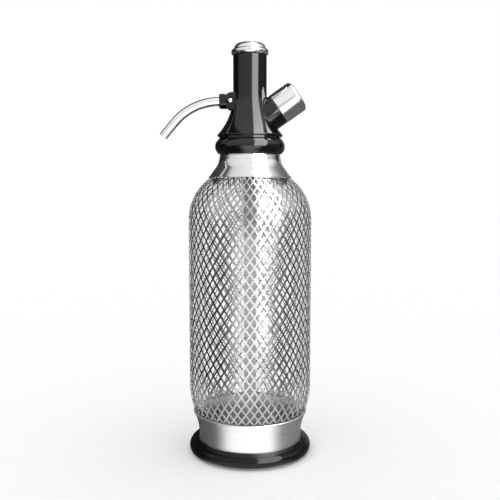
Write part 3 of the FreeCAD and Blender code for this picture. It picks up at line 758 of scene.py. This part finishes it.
def joined(piece, part):
    """Make a part one object with a piece."""
    pick(piece)
    part.select_set(True)
    bpy.ops.object.join()
    return piece


def thread(piece, radius, depth, pitch, bottom, top):
    """Wind a three-sided ridge round a turned piece, with its crest at a radius."""
    turns = max(1, int((top - bottom - 2 * depth) / pitch))
    return joined(piece, wound("ridge", 3, depth, radius - depth, bottom, pitch, turns))


thread_metal = finish("thread_metal", Metallic=1.0)
vary(thread_metal, "Roughness", texture(thread_metal, 200), 0.25, 0.4)
tint(thread_metal, turning_marks(thread_metal, 0.5 * mm), (0.62, 0.62, 0.63), (0.74, 0.74, 0.75))
relief(thread_metal, turning_marks(thread_metal, 0.2 * mm), 0.005 * mm)

ring_low, ring_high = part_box("neck_thread_ring")
ring_root = ring_high.x - neck_thread_depth
neck_ring = turned("neck_ring", rounded([
    (ring_bore, ring_low.z),
    (ring_root, ring_low.z, ring_edge),
    (ring_root, ring_high.z, ring_top_edge),
    (ring_bore, ring_high.z, ring_edge),
    (ring_bore, ring_low.z),
], steps=3), segments=96)
thread(neck_ring, ring_high.x, neck_thread_depth, neck_thread_pitch, ring_low.z, ring_high.z)
place(neck_ring, thread_metal, "bottle", "thread_metal", "neck_thread_ring")

# ---------------------------------------------------------------- riser and measuring tube
# A beige nylon riser takes the water up from the bottom of the bottle. The clear measuring tube round
# its top hangs from the flange on the lip and sets how far the bottle is filled.

riser_wall = 1.0 * mm
riser_edge = 0.3 * mm
riser_bore_edge = 0.2 * mm

riser_low, riser_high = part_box("riser_tube")
riser_plastic = finish("riser_plastic")
tint(riser_plastic, texture(riser_plastic, (60, 60, 25)), (0.90, 0.89, 0.83), (0.94, 0.93, 0.88))
vary(riser_plastic, "Roughness", texture(riser_plastic, (300, 300, 40)), 0.32, 0.45)
relief(riser_plastic, texture(riser_plastic, (500, 500, 60)), 0.01 * mm)
riser_radius = riser_high.x
riser = turned("riser", rounded([
    (riser_radius - riser_wall, riser_low.z, riser_bore_edge),
    (riser_radius, riser_low.z, riser_edge),
    (riser_radius, riser_high.z, riser_edge),
    (riser_radius - riser_wall, riser_high.z, riser_bore_edge),
    (riser_radius - riser_wall, riser_low.z),
], steps=3), segments=64)
place(riser, riser_plastic, "riser", "clear_plastic", "riser_tube")

clear_plastic = finish("clear_plastic", Base_Color=(0.93, 0.93, 0.91, 1), IOR=1.46,
                       Transmission_Weight=0.92)
vary(clear_plastic, "Roughness", texture(clear_plastic, (120, 120, 60)), 0.08, 0.2)
relief(clear_plastic, texture(clear_plastic, (300, 300, 80)), 0.01 * mm)

# ---------------------------------------------------------------- head
# One black moulding: a spigot that screws on the neck, a brim, a flare that runs into the tower, two
# ears for the spout's pins and a leaning boss for the charging stud, with a small bead round its root.

spigot_wall = 2.35 * mm
spigot_bore = 22.35 * mm
rubber_bore = 7.0 * mm
rubber_bore_depth = 9.0 * mm
passage_radius = 3.0 * mm
brim_lift = 2.2 * mm
brim_height = 1.2 * mm
brim_width = 1.5 * mm
brim_edge = 0.45 * mm
flare_length = 13.9 * mm
flare_round = 48.6 * mm
tower_radius = 13.4 * mm
chamber_radius = 8.0 * mm
chamber_lift = 15.2 * mm
washer_seat_radius = 11.4 * mm
washer_seat_depth = 0.9 * mm
moulded_edge = 0.35 * mm
boss_lean = 55.0               # degrees from upright
boss_lift = 8.1 * mm
boss_radius = 12.7 * mm
boss_start = 6.0 * mm
boss_segments = 112
seam_bead = 0.42 * mm          # half the width of the bead moulded round the boss's root
seam_halvings = 24             # steps that home in on where the boss leaves the head
stud_radius = 9.4 * mm
stud_back_wall = 2.4 * mm
stud_base_length = 7.6 * mm
ear_inner = 4.8 * mm
ear_outer = 7.3 * mm
ear_length = 3.3 * mm
ear_height = 13.2 * mm
ear_corner = 2.2 * mm
ear_chamfer = 2.1 * mm
pocket_radius = 4.7 * mm
cut_past = 1.0 * mm            # how far a cutting tool runs out of the surface
near = 0.1 * mm                # an edge this close to a plane lies in it

head_low, head_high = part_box("head_body")
slip_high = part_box("head_slip_washer")[1]
pins_low, pins_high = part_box("pivot_pins")
head_floor = slip_high.z
tower_top = head_high.z
brim_low = head_floor + brim_lift
brim_top = brim_low + brim_height
spigot_radius = spigot_bore + spigot_wall
brim_radius = spigot_radius + brim_width
chamber_floor = head_floor + chamber_lift
washer_seat = tower_top - washer_seat_depth
rubber_bore_top = head_floor + rubber_bore_depth
pivot = (pins_low + pins_high) / 2
ear_left = pivot.x - ear_length

head_outline = rounded([
    (rubber_bore, head_floor),
    (spigot_bore, head_floor),
    (spigot_bore, head_low.z, moulded_edge),
    (spigot_radius, head_low.z, moulded_edge),
    (spigot_radius, brim_low, moulded_edge),
    (brim_radius, brim_low, brim_edge),
    (brim_radius, brim_top, brim_edge),
    (tower_radius, brim_top + flare_length, flare_round),
    (tower_radius, tower_top, moulded_edge),
    (washer_seat_radius, tower_top),
    (washer_seat_radius, washer_seat),
    (chamber_radius, washer_seat),
    (chamber_radius, chamber_floor),
    (passage_radius, chamber_floor),
    (passage_radius, rubber_bore_top),
    (rubber_bore, rubber_bore_top),
    (rubber_bore, head_floor),
], steps=14)
head = turned("head", head_outline, segments=160)

boss_tilt = math.radians(boss_lean)
boss_way = Vector((math.sin(boss_tilt), 0, math.cos(boss_tilt)))
boss_root = Vector((0, 0, head_floor + boss_lift))
stud_bottom = (chamber_radius + stud_back_wall + stud_radius * math.cos(boss_tilt)) / math.sin(boss_tilt)
boss_face = stud_bottom + stud_base_length


def leaned(piece):
    """Lean a piece, made upright at the origin, on to the boss's axis."""
    piece.data.transform(Matrix.Translation(boss_root) @ Matrix.Rotation(boss_tilt, 4, "Y"))
    return piece


def combine(piece, other, operation):
    """Join another solid to a piece, or cut it out of the piece."""
    boolean = piece.modifiers.new(operation, "BOOLEAN")
    boolean.object = other
    boolean.operation = operation
    boolean.solver = "EXACT"
    pick(piece)
    bpy.ops.object.modifier_apply(modifier=operation)
    bpy.data.objects.remove(other)
    return piece


boss = leaned(turned("boss", rounded([
    (0, boss_start),
    (boss_radius, boss_start),
    (boss_radius, boss_face, moulded_edge),
    (0, boss_face),
], steps=4), segments=boss_segments))
stud_hole = leaned(turned("stud_hole", rounded([
    (0, stud_bottom),
    (stud_radius, stud_bottom),
    (stud_radius, boss_face + cut_past),
    (0, boss_face + cut_past),
]), segments=96))


def chamfer_edges(piece, chosen, width):
    """Cut a piece's edges back, those whose two ends are chosen."""
    bpy.ops.object.mode_set(mode="EDIT")
    bpy.ops.mesh.select_mode(type="EDGE")
    bpy.ops.mesh.select_all(action="DESELECT")
    bpy.ops.object.mode_set(mode="OBJECT")
    for edge in piece.data.edges:
        edge.select = chosen(*[piece.data.vertices[i].co for i in edge.vertices])
    bpy.ops.object.mode_set(mode="EDIT")
    bpy.ops.mesh.bevel(offset=width, segments=1, affect="EDGES")
    bpy.ops.mesh.select_all(action="DESELECT")
    bpy.ops.mesh.select_mode(type="VERT")
    bpy.ops.object.mode_set(mode="OBJECT")


def block_between(name, low, high):
    """A block with two opposite corners at these places."""
    bpy.ops.object.select_all(action="DESELECT")
    bpy.ops.mesh.primitive_cube_add(size=1, location=(low + high) / 2)
    made = bpy.context.object
    made.name = name
    made.scale = high - low
    bpy.ops.object.transform_apply()
    return made


def ear(side):
    """One cheek of the spout's hinge, cut back round its end and outer side; side is 1 or -1."""
    inner, outer = sorted((side * ear_inner, side * ear_outer))
    cheek = block_between("ear", Vector((ear_left, inner, pivot.z - ear_height / 2)),
                          Vector((0, outer, pivot.z + ear_height / 2)))
    free_end = ear_left + near
    outer_side = ear_outer - near
    chamfer_edges(cheek, lambda a, b: max(a.x, b.x) < free_end, ear_corner)
    chamfer_edges(cheek, lambda a, b: max(a.x, b.x) < pivot.x and min(side * a.y, side * b.y) > outer_side,
                  ear_chamfer)
    return cleaned(cheek)


def crosswise(piece, x, z):
    """Lay a piece, made upright at the origin, along Y at a place."""
    piece.data.transform(Matrix.Translation((x, 0, z)) @ Matrix.Rotation(math.radians(90), 4, "X"))
    return piece


pocket = crosswise(turned("pocket", rounded([
    (0, -ear_inner),
    (pocket_radius, -ear_inner),
    (pocket_radius, ear_inner),
    (0, ear_inner),
]), segments=64), pivot.x, pivot.z)
combine(head, boss, "UNION")
combine(head, ear(1), "UNION")
combine(head, ear(-1), "UNION")
combine(head, pocket, "DIFFERENCE")
combine(head, stud_hole, "DIFFERENCE")

outside = [point for point in head_outline if point.x > tower_radius - moulded_edge and point.y > brim_top]
outside = [Vector((outside[0].x, brim_low))] + outside + [Vector((tower_radius, tower_top))]
outside_heights = [point.y for point in outside]
outside_radii = [point.x for point in outside]


def on_head(spoke):
    """Where a line that runs along the boss comes out through the head's outside."""
    inner = boss_start
    outer = boss_face
    for _ in range(seam_halvings):
        middle = (inner + outer) / 2
        point = boss_root + boss_way * middle + spoke
        inside = Vector((point.x, point.y)).length < read_off(point.z, outside_heights, outside_radii)
        inner, outer = (middle, outer) if inside else (inner, middle)
    return boss_root + boss_way * inner + spoke


bpy.ops.object.select_all(action="DESELECT")
bpy.ops.mesh.primitive_circle_add(vertices=boss_segments, radius=boss_radius, location=(0, 0, 0))
seam = bpy.context.object
seam.name = "boss_seam"
seam.data.transform(Matrix.Rotation(boss_tilt, 4, "Y"))
for vertex in seam.data.vertices:
    vertex.co = on_head(vertex.co)
bpy.ops.object.convert(target="CURVE")
seam.data.bevel_depth = seam_bead
seam.data.bevel_resolution = 3
bpy.ops.object.convert(target="MESH")
cleaned(seam)

pick(head)
cleaned(head)
joined(head, seam)
place(head, black_moulding, "head", "black_moulding", "head_body")

# ---------------------------------------------------------------- grip ring
# The thick rounded ring under the brim, moulded with the head's skirt, that the hand turns to take the
# head off. It hides the end of the neck thread.

skirt_low, skirt_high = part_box("head_skirt_ring")
skirt_radius = skirt_high.x
skirt_edge = 2.5 * mm          # lower edge inside the widest part
skirt_edge_round = 3.0 * mm
skirt_low_up = 4.0 * mm        # widest part above the lower edge
skirt_high_down = 3.3 * mm     # and below the upper edge
skirt_round = 6.2 * mm
skirt_gap = 0.1 * mm           # between the ring and the spigot inside it
skirt_top_flat = 0.3 * mm
skirt_top_round = 0.2 * mm
skirt = turned("grip_ring", rounded([
    (spigot_bore, skirt_low.z),
    (skirt_radius - skirt_edge, skirt_low.z, skirt_edge_round),
    (skirt_radius, skirt_low.z + skirt_low_up, skirt_round),
    (skirt_radius, skirt_high.z - skirt_high_down, skirt_round),
    (spigot_radius + skirt_gap + skirt_top_flat, skirt_high.z, skirt_top_round),
    (spigot_radius + skirt_gap, skirt_high.z),
    (spigot_radius + skirt_gap, head_low.z - skirt_gap),
    (spigot_bore, head_low.z - skirt_gap),
    (spigot_bore, skirt_low.z),
], steps=12), segments=160)
place(skirt, black_moulding, "head", "black_moulding", "head_skirt_ring")

# ---------------------------------------------------------------- spout
# A thin chromed tube, bent once and cut square, held in a small black block with chamfered edges. The
# block hangs on two domed steel pins between the head's ears.

tube_radius = 3.6 * mm
tube_wall = 0.8 * mm
bend_radius = 47.0 * mm
bend_angle = 50.0              # degrees
bend_steps = 40
tube_tail = 14.0 * mm
tube_plug = 5.6 * mm
tube_edge = 0.12 * mm
tube_edge_angle = 50.0         # degrees; sharper edges than this are eased
block_end_radius = 4.4 * mm
block_end_flat = 0.2 * mm
block_end_steps = 8
block_edge = 0.25 * mm
block_edge_angle = 30.0
block_chamfer = 0.9 * mm
block_under = 2.6 * mm         # chamfers along the lower edges, and the upper
block_over = 1.0 * mm
pin_depth = 2.2 * mm
pin_clearance = 0.3 * mm
pin_edge = 0.2 * mm
pin_collar = 0.05 * mm         # height of the dome's lower edge, and its share of the pin's radius
pin_collar_share = 0.97
pin_dome_round = 2.2 * mm
pin_dome_share = 0.55
pin_dome_drop = 0.02 * mm


def eased(piece, width, angle):
    """Take off a piece's edges that are sharper than an angle."""
    pick(piece)
    edge = piece.modifiers.new("edge", "BEVEL")
    edge.width = width
    edge.segments = 2
    edge.angle_limit = math.radians(angle)
    bpy.ops.object.modifier_apply(modifier="edge")


bright_chrome = finish("bright_chrome", Metallic=1.0)
vary(bright_chrome, "Roughness", texture(bright_chrome, 90), 0.06, 0.13)
tint(bright_chrome, texture(bright_chrome, 40), (0.86, 0.87, 0.88), (0.90, 0.905, 0.91))
relief(bright_chrome, texture(bright_chrome, 250), 0.003 * mm)

block_low, block_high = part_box("spout_block")
bpy.ops.object.select_all(action="DESELECT")
bpy.ops.mesh.primitive_circle_add(vertices=64, radius=tube_radius, rotation=(0, math.radians(90), 0),
                                  location=(block_low.x + tube_plug, 0, pivot.z))
spout = bpy.context.object
spout.name = "spout"
bpy.ops.object.transform_apply()
bpy.ops.object.mode_set(mode="EDIT")
bpy.ops.mesh.select_all(action="SELECT")
bpy.ops.mesh.extrude_region_move(TRANSFORM_OT_translate={"value": (-tube_plug, 0, 0)})
bpy.ops.mesh.spin(steps=bend_steps, angle=math.radians(bend_angle), axis=(0, 1, 0),
                  center=(block_low.x, 0, pivot.z - bend_radius))
tail = math.radians(bend_angle)
bpy.ops.mesh.extrude_region_move(
    TRANSFORM_OT_translate={"value": (-tube_tail * math.cos(tail), 0, -tube_tail * math.sin(tail))})
bpy.ops.object.mode_set(mode="OBJECT")
cleaned(spout)
wall = spout.modifiers.new("wall", "SOLIDIFY")
wall.thickness = tube_wall
wall.offset = -1
bpy.ops.object.modifier_apply(modifier="wall")
eased(spout, tube_edge, tube_edge_angle)
bpy.ops.object.shade_smooth_by_angle(angle=math.radians(40))
place(spout, bright_chrome, "spout", "bright_chrome", "spout_tube")

block = block_between("hinge_block", block_low, Vector((ear_left, block_high.y, block_high.z)))
chamfer_edges(block, lambda a, b: max(a.z, b.z) < block_low.z + near and abs(a.x - b.x) > near, block_under)
chamfer_edges(block, lambda a, b: min(a.z, b.z) > block_high.z - near and abs(a.x - b.x) > near, block_over)
chamfer_edges(block, lambda a, b: max(a.x, b.x) < block_low.x + near, block_chamfer)
bpy.ops.object.mode_set(mode="EDIT")
bpy.ops.mesh.select_mode(type="FACE")
bpy.ops.object.mode_set(mode="OBJECT")
for face in block.data.polygons:
    face.select = face.normal.x > 0.9
bpy.ops.object.mode_set(mode="EDIT")
reach = pivot.x - ear_left
half = (block_high.z - block_low.z) / 2
for step in range(block_end_steps + 1):
    angle = math.radians(90) * step / block_end_steps
    next_half = max(block_end_radius * math.cos(angle), block_end_flat)
    bpy.ops.mesh.extrude_region_move(TRANSFORM_OT_translate={"value": (reach, 0, 0)})
    bpy.ops.transform.resize(value=(1, 1, next_half / half), center_override=(0, 0, pivot.z))
    half = next_half
    next_angle = math.radians(90) * (step + 1) / block_end_steps
    reach = block_end_radius * (math.sin(next_angle) - math.sin(angle))
bpy.ops.mesh.select_mode(type="VERT")
bpy.ops.object.mode_set(mode="OBJECT")
eased(block, block_edge, block_edge_angle)
cleaned(block)
place(block, black_moulding, "spout", "black_moulding", "spout_block")

pin_radius = pins_high.x - pivot.x
pin_inner = ear_inner - pin_clearance - pin_depth
pin_shape = rounded([
    (0, pin_inner),
    (pin_radius, pin_inner, pin_edge),
    (pin_radius, ear_outer),
    (pin_radius * pin_collar_share, ear_outer + pin_collar),
    (pin_radius * pin_dome_share, pins_high.y - pin_dome_drop, pin_dome_round),
    (0, pins_high.y),
], steps=6)
pins = crosswise(turned("hinge_pins", pin_shape, segments=48), pivot.x, pivot.z)
mirror = pins.modifiers.new("other_side", "MIRROR")
mirror.use_axis = (False, True, False)
bpy.ops.object.modifier_apply(modifier="other_side")
cleaned(pins)
place(pins, bright_chrome, "head", "bright_chrome", "pivot_pins")

# ---------------------------------------------------------------- top cap
# The chromed cap that closes the valve chamber: a pressed crown over a rolled rim, with a threaded plug
# below it and a rubber washer under the rim.

cap_rim = 4.85 * mm
cap_crown_radius = 12.45 * mm
cap_crown_edge = 4.9 * mm
cap_crown_flat = 0.4           # share of the crown's radius that is nearly flat
cap_crown_round = 22.0 * mm
cap_crown_drop = 0.5 * mm
cap_rim_low_round = 1.9 * mm
cap_rim_high_round = 2.4 * mm
cap_rim_drop = 0.2 * mm
cap_step = 0.1 * mm            # height of the step between rim and crown, and its rounding
cap_step_round = 0.7 * mm
cap_guide_round = 0.2 * mm
cap_plug_round = 0.4 * mm
cap_plug_radius = 7.7 * mm
cap_guide_radius = 2.0 * mm
cap_guide_depth = 5.105 * mm
cap_thread_depth = 0.5 * mm
cap_thread_pitch = 1.25 * mm

cap_low, cap_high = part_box("top_cap")
cap_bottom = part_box("top_cap_washer")[1].z
cap_radius = cap_high.x
cap_rim_top = cap_bottom + cap_rim
plug_root = cap_plug_radius - cap_thread_depth
top_cap = turned("valve_cap", rounded([
    (0, cap_low.z + cap_guide_depth),
    (cap_guide_radius, cap_low.z + cap_guide_depth),
    (cap_guide_radius, cap_low.z, cap_guide_round),
    (plug_root, cap_low.z, cap_plug_round),
    (plug_root, cap_bottom),
    (cap_radius, cap_bottom, cap_rim_low_round),
    (cap_radius, cap_rim_top - cap_rim_drop, cap_rim_high_round),
    (cap_crown_radius + cap_rim_drop, cap_rim_top + cap_step, cap_step_round),
    (cap_crown_radius, cap_high.z - cap_crown_drop, cap_crown_edge),
    (cap_crown_radius * cap_crown_flat, cap_high.z, cap_crown_round),
    (0, cap_high.z),
], steps=12), segments=128)
thread(top_cap, cap_plug_radius, cap_thread_depth, cap_thread_pitch, cap_low.z, cap_bottom)
place(top_cap, bright_chrome, "cap", "bright_chrome", "top_cap")

# ---------------------------------------------------------------- charging stud and its cap
# A turned brass stud, pressed into the boss, takes the gas charger's holder on its thread. Between
# charges a chromed cap is screwed over it, with a rubber gasket inside.

stud_thread_radius = 8.8 * mm
stud_thread_depth = 0.7 * mm
stud_thread_pitch = 2.0 * mm
stud_length = 15.2 * mm
stud_relief = 1.6 * mm
stud_edge = 0.3 * mm
stud_sink = 0.1 * mm           # shoulder below the boss's face
stud_end_round = 0.6 * mm
socket_round = 0.5 * mm
socket_radius = 4.6 * mm
socket_depth = 15.5 * mm
side_cap_radius = 12.8 * mm
side_cap_gap = 0.3 * mm
side_cap_hollow = 17.0 * mm
side_cap_end = 20.3 * mm
side_cap_round = 2.8 * mm
side_cap_mouth_round = 0.35 * mm
side_cap_dome = 0.5 * mm       # height of the end's dome, its rounding and the share that is nearly flat
side_cap_dome_round = 14.0 * mm
side_cap_flat = 0.5

valve_brass = finish("valve_brass", Metallic=1.0)
vary(valve_brass, "Roughness", texture(valve_brass, 200), 0.18, 0.36)
tint(valve_brass, texture(valve_brass, 60), (0.60, 0.44, 0.20), (0.70, 0.54, 0.27))
relief(valve_brass, turning_marks(valve_brass, 0.2 * mm), 0.004 * mm)

stud_top = boss_face + stud_length
stud_root = stud_thread_radius - stud_thread_depth
stud = turned("threaded_stud", rounded([
    (0, stud_bottom),
    (stud_radius, stud_bottom, stud_edge),
    (stud_radius, boss_face - stud_sink, stud_edge),
    (stud_root, boss_face - stud_sink),
    (stud_root, stud_top, stud_end_round),
    (socket_radius, stud_top, socket_round),
    (socket_radius, stud_top - socket_depth),
    (0, stud_top - socket_depth),
], steps=4), segments=96)
thread(stud, stud_thread_radius, stud_thread_depth, stud_thread_pitch, boss_face + stud_relief, stud_top)
place(leaned(stud), valve_brass, "head", "valve_brass", "charging_stud")

side_cap = turned("stud_cap", rounded([
    (0, boss_face + side_cap_hollow),
    (stud_thread_radius + side_cap_gap, boss_face + side_cap_hollow, stud_edge),
    (stud_thread_radius + side_cap_gap, boss_face + side_cap_gap, stud_edge),
    (side_cap_radius, boss_face + side_cap_gap, side_cap_mouth_round),
    (side_cap_radius, boss_face + side_cap_end - side_cap_dome, side_cap_round),
    (side_cap_radius * side_cap_flat, boss_face + side_cap_end, side_cap_dome_round),
    (0, boss_face + side_cap_end),
], steps=12), segments=128)
place(leaned(side_cap), bright_chrome, "side_cap", "bright_chrome", "charger_cap")

# ---------------------------------------------------------------- small working pieces
# The seals, the brass valve pieces and the pad under the glass keep their imported shapes, and each takes the
# finish of what it is made of. The two springs are wound from steel wire.

seal_rubber = finish("seal_rubber")
vary(seal_rubber, "Roughness", texture(seal_rubber, 300), 0.45, 0.65)
tint(seal_rubber, texture(seal_rubber, 120), (0.022, 0.022, 0.023), (0.045, 0.044, 0.043))
relief(seal_rubber, texture(seal_rubber, 1200), 0.01 * mm)
spring_steel = finish("spring_steel", Metallic=1.0)
vary(spring_steel, "Roughness", texture(spring_steel, 900), 0.18, 0.32)
tint(spring_steel, texture(spring_steel, 300), (0.50, 0.50, 0.51), (0.64, 0.64, 0.65))
relief(spring_steel, texture(spring_steel, (2500, 2500, 300)), 0.004 * mm)

spring_radius = 4.4 * mm
spring_turns = 7
check_spring_radius = 1.9 * mm
check_spring_turns = 4
spring_wire_sides = 12


def reach_along(node, root, way):
    """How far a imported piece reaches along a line, from its near end to its far end."""
    packed = nodes[node]
    reaches = [(packed.matrix_world @ vertex.co - root).dot(way) for vertex in packed.data.vertices]
    return min(reaches), max(reaches)


def coil_spring(name, radius, wire, turns, bottom, top):
    """A spring of round wire that fits between two heights."""
    pitch = (top - bottom - 2 * wire) / turns
    return wound(name, spring_wire_sides, wire, radius, bottom, pitch, turns)


spring_low, spring_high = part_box("valve_spring")
valve_spring = coil_spring("valve_coil_spring", spring_radius, spring_high.x - spring_radius, spring_turns,
                           spring_low.z, spring_high.z)
place(valve_spring, spring_steel, "head", "spring_steel", "valve_spring")
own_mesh(valve_spring)

check_bottom, check_top = reach_along("check_spring", boss_root, boss_way)
check_wire = reach_along("check_spring", boss_root, Vector((0, 1, 0)))[1] - check_spring_radius
check_spring = leaned(coil_spring("check_coil_spring", check_spring_radius, check_wire, check_spring_turns,
                                  check_bottom, check_top))
place(check_spring, spring_steel, "head", "spring_steel", "check_spring")
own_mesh(check_spring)

small_pieces = {
    "bottle_cushion": pale_rubber, "neck_packing": pale_rubber, "riser_seal": pale_rubber,
    "riser_ring": seal_rubber, "valve_disc": seal_rubber, "spout_grommet": seal_rubber,
    "top_cap_washer": seal_rubber, "charger_seal": seal_rubber, "charger_cap_gasket": seal_rubber,
    "measuring_tube": clear_plastic, "head_slip_washer": clear_plastic,
    "valve_seat": valve_brass, "valve_rod": valve_brass, "lift_collar": valve_brass,
    "inlet_nozzle": valve_brass, "check_valve": valve_brass, "check_retainer": valve_brass,
    "piercing_pin": spring_steel,
}
for name, material in small_pieces.items():
    nodes[name].data.materials.clear()
    nodes[name].data.materials.append(material)
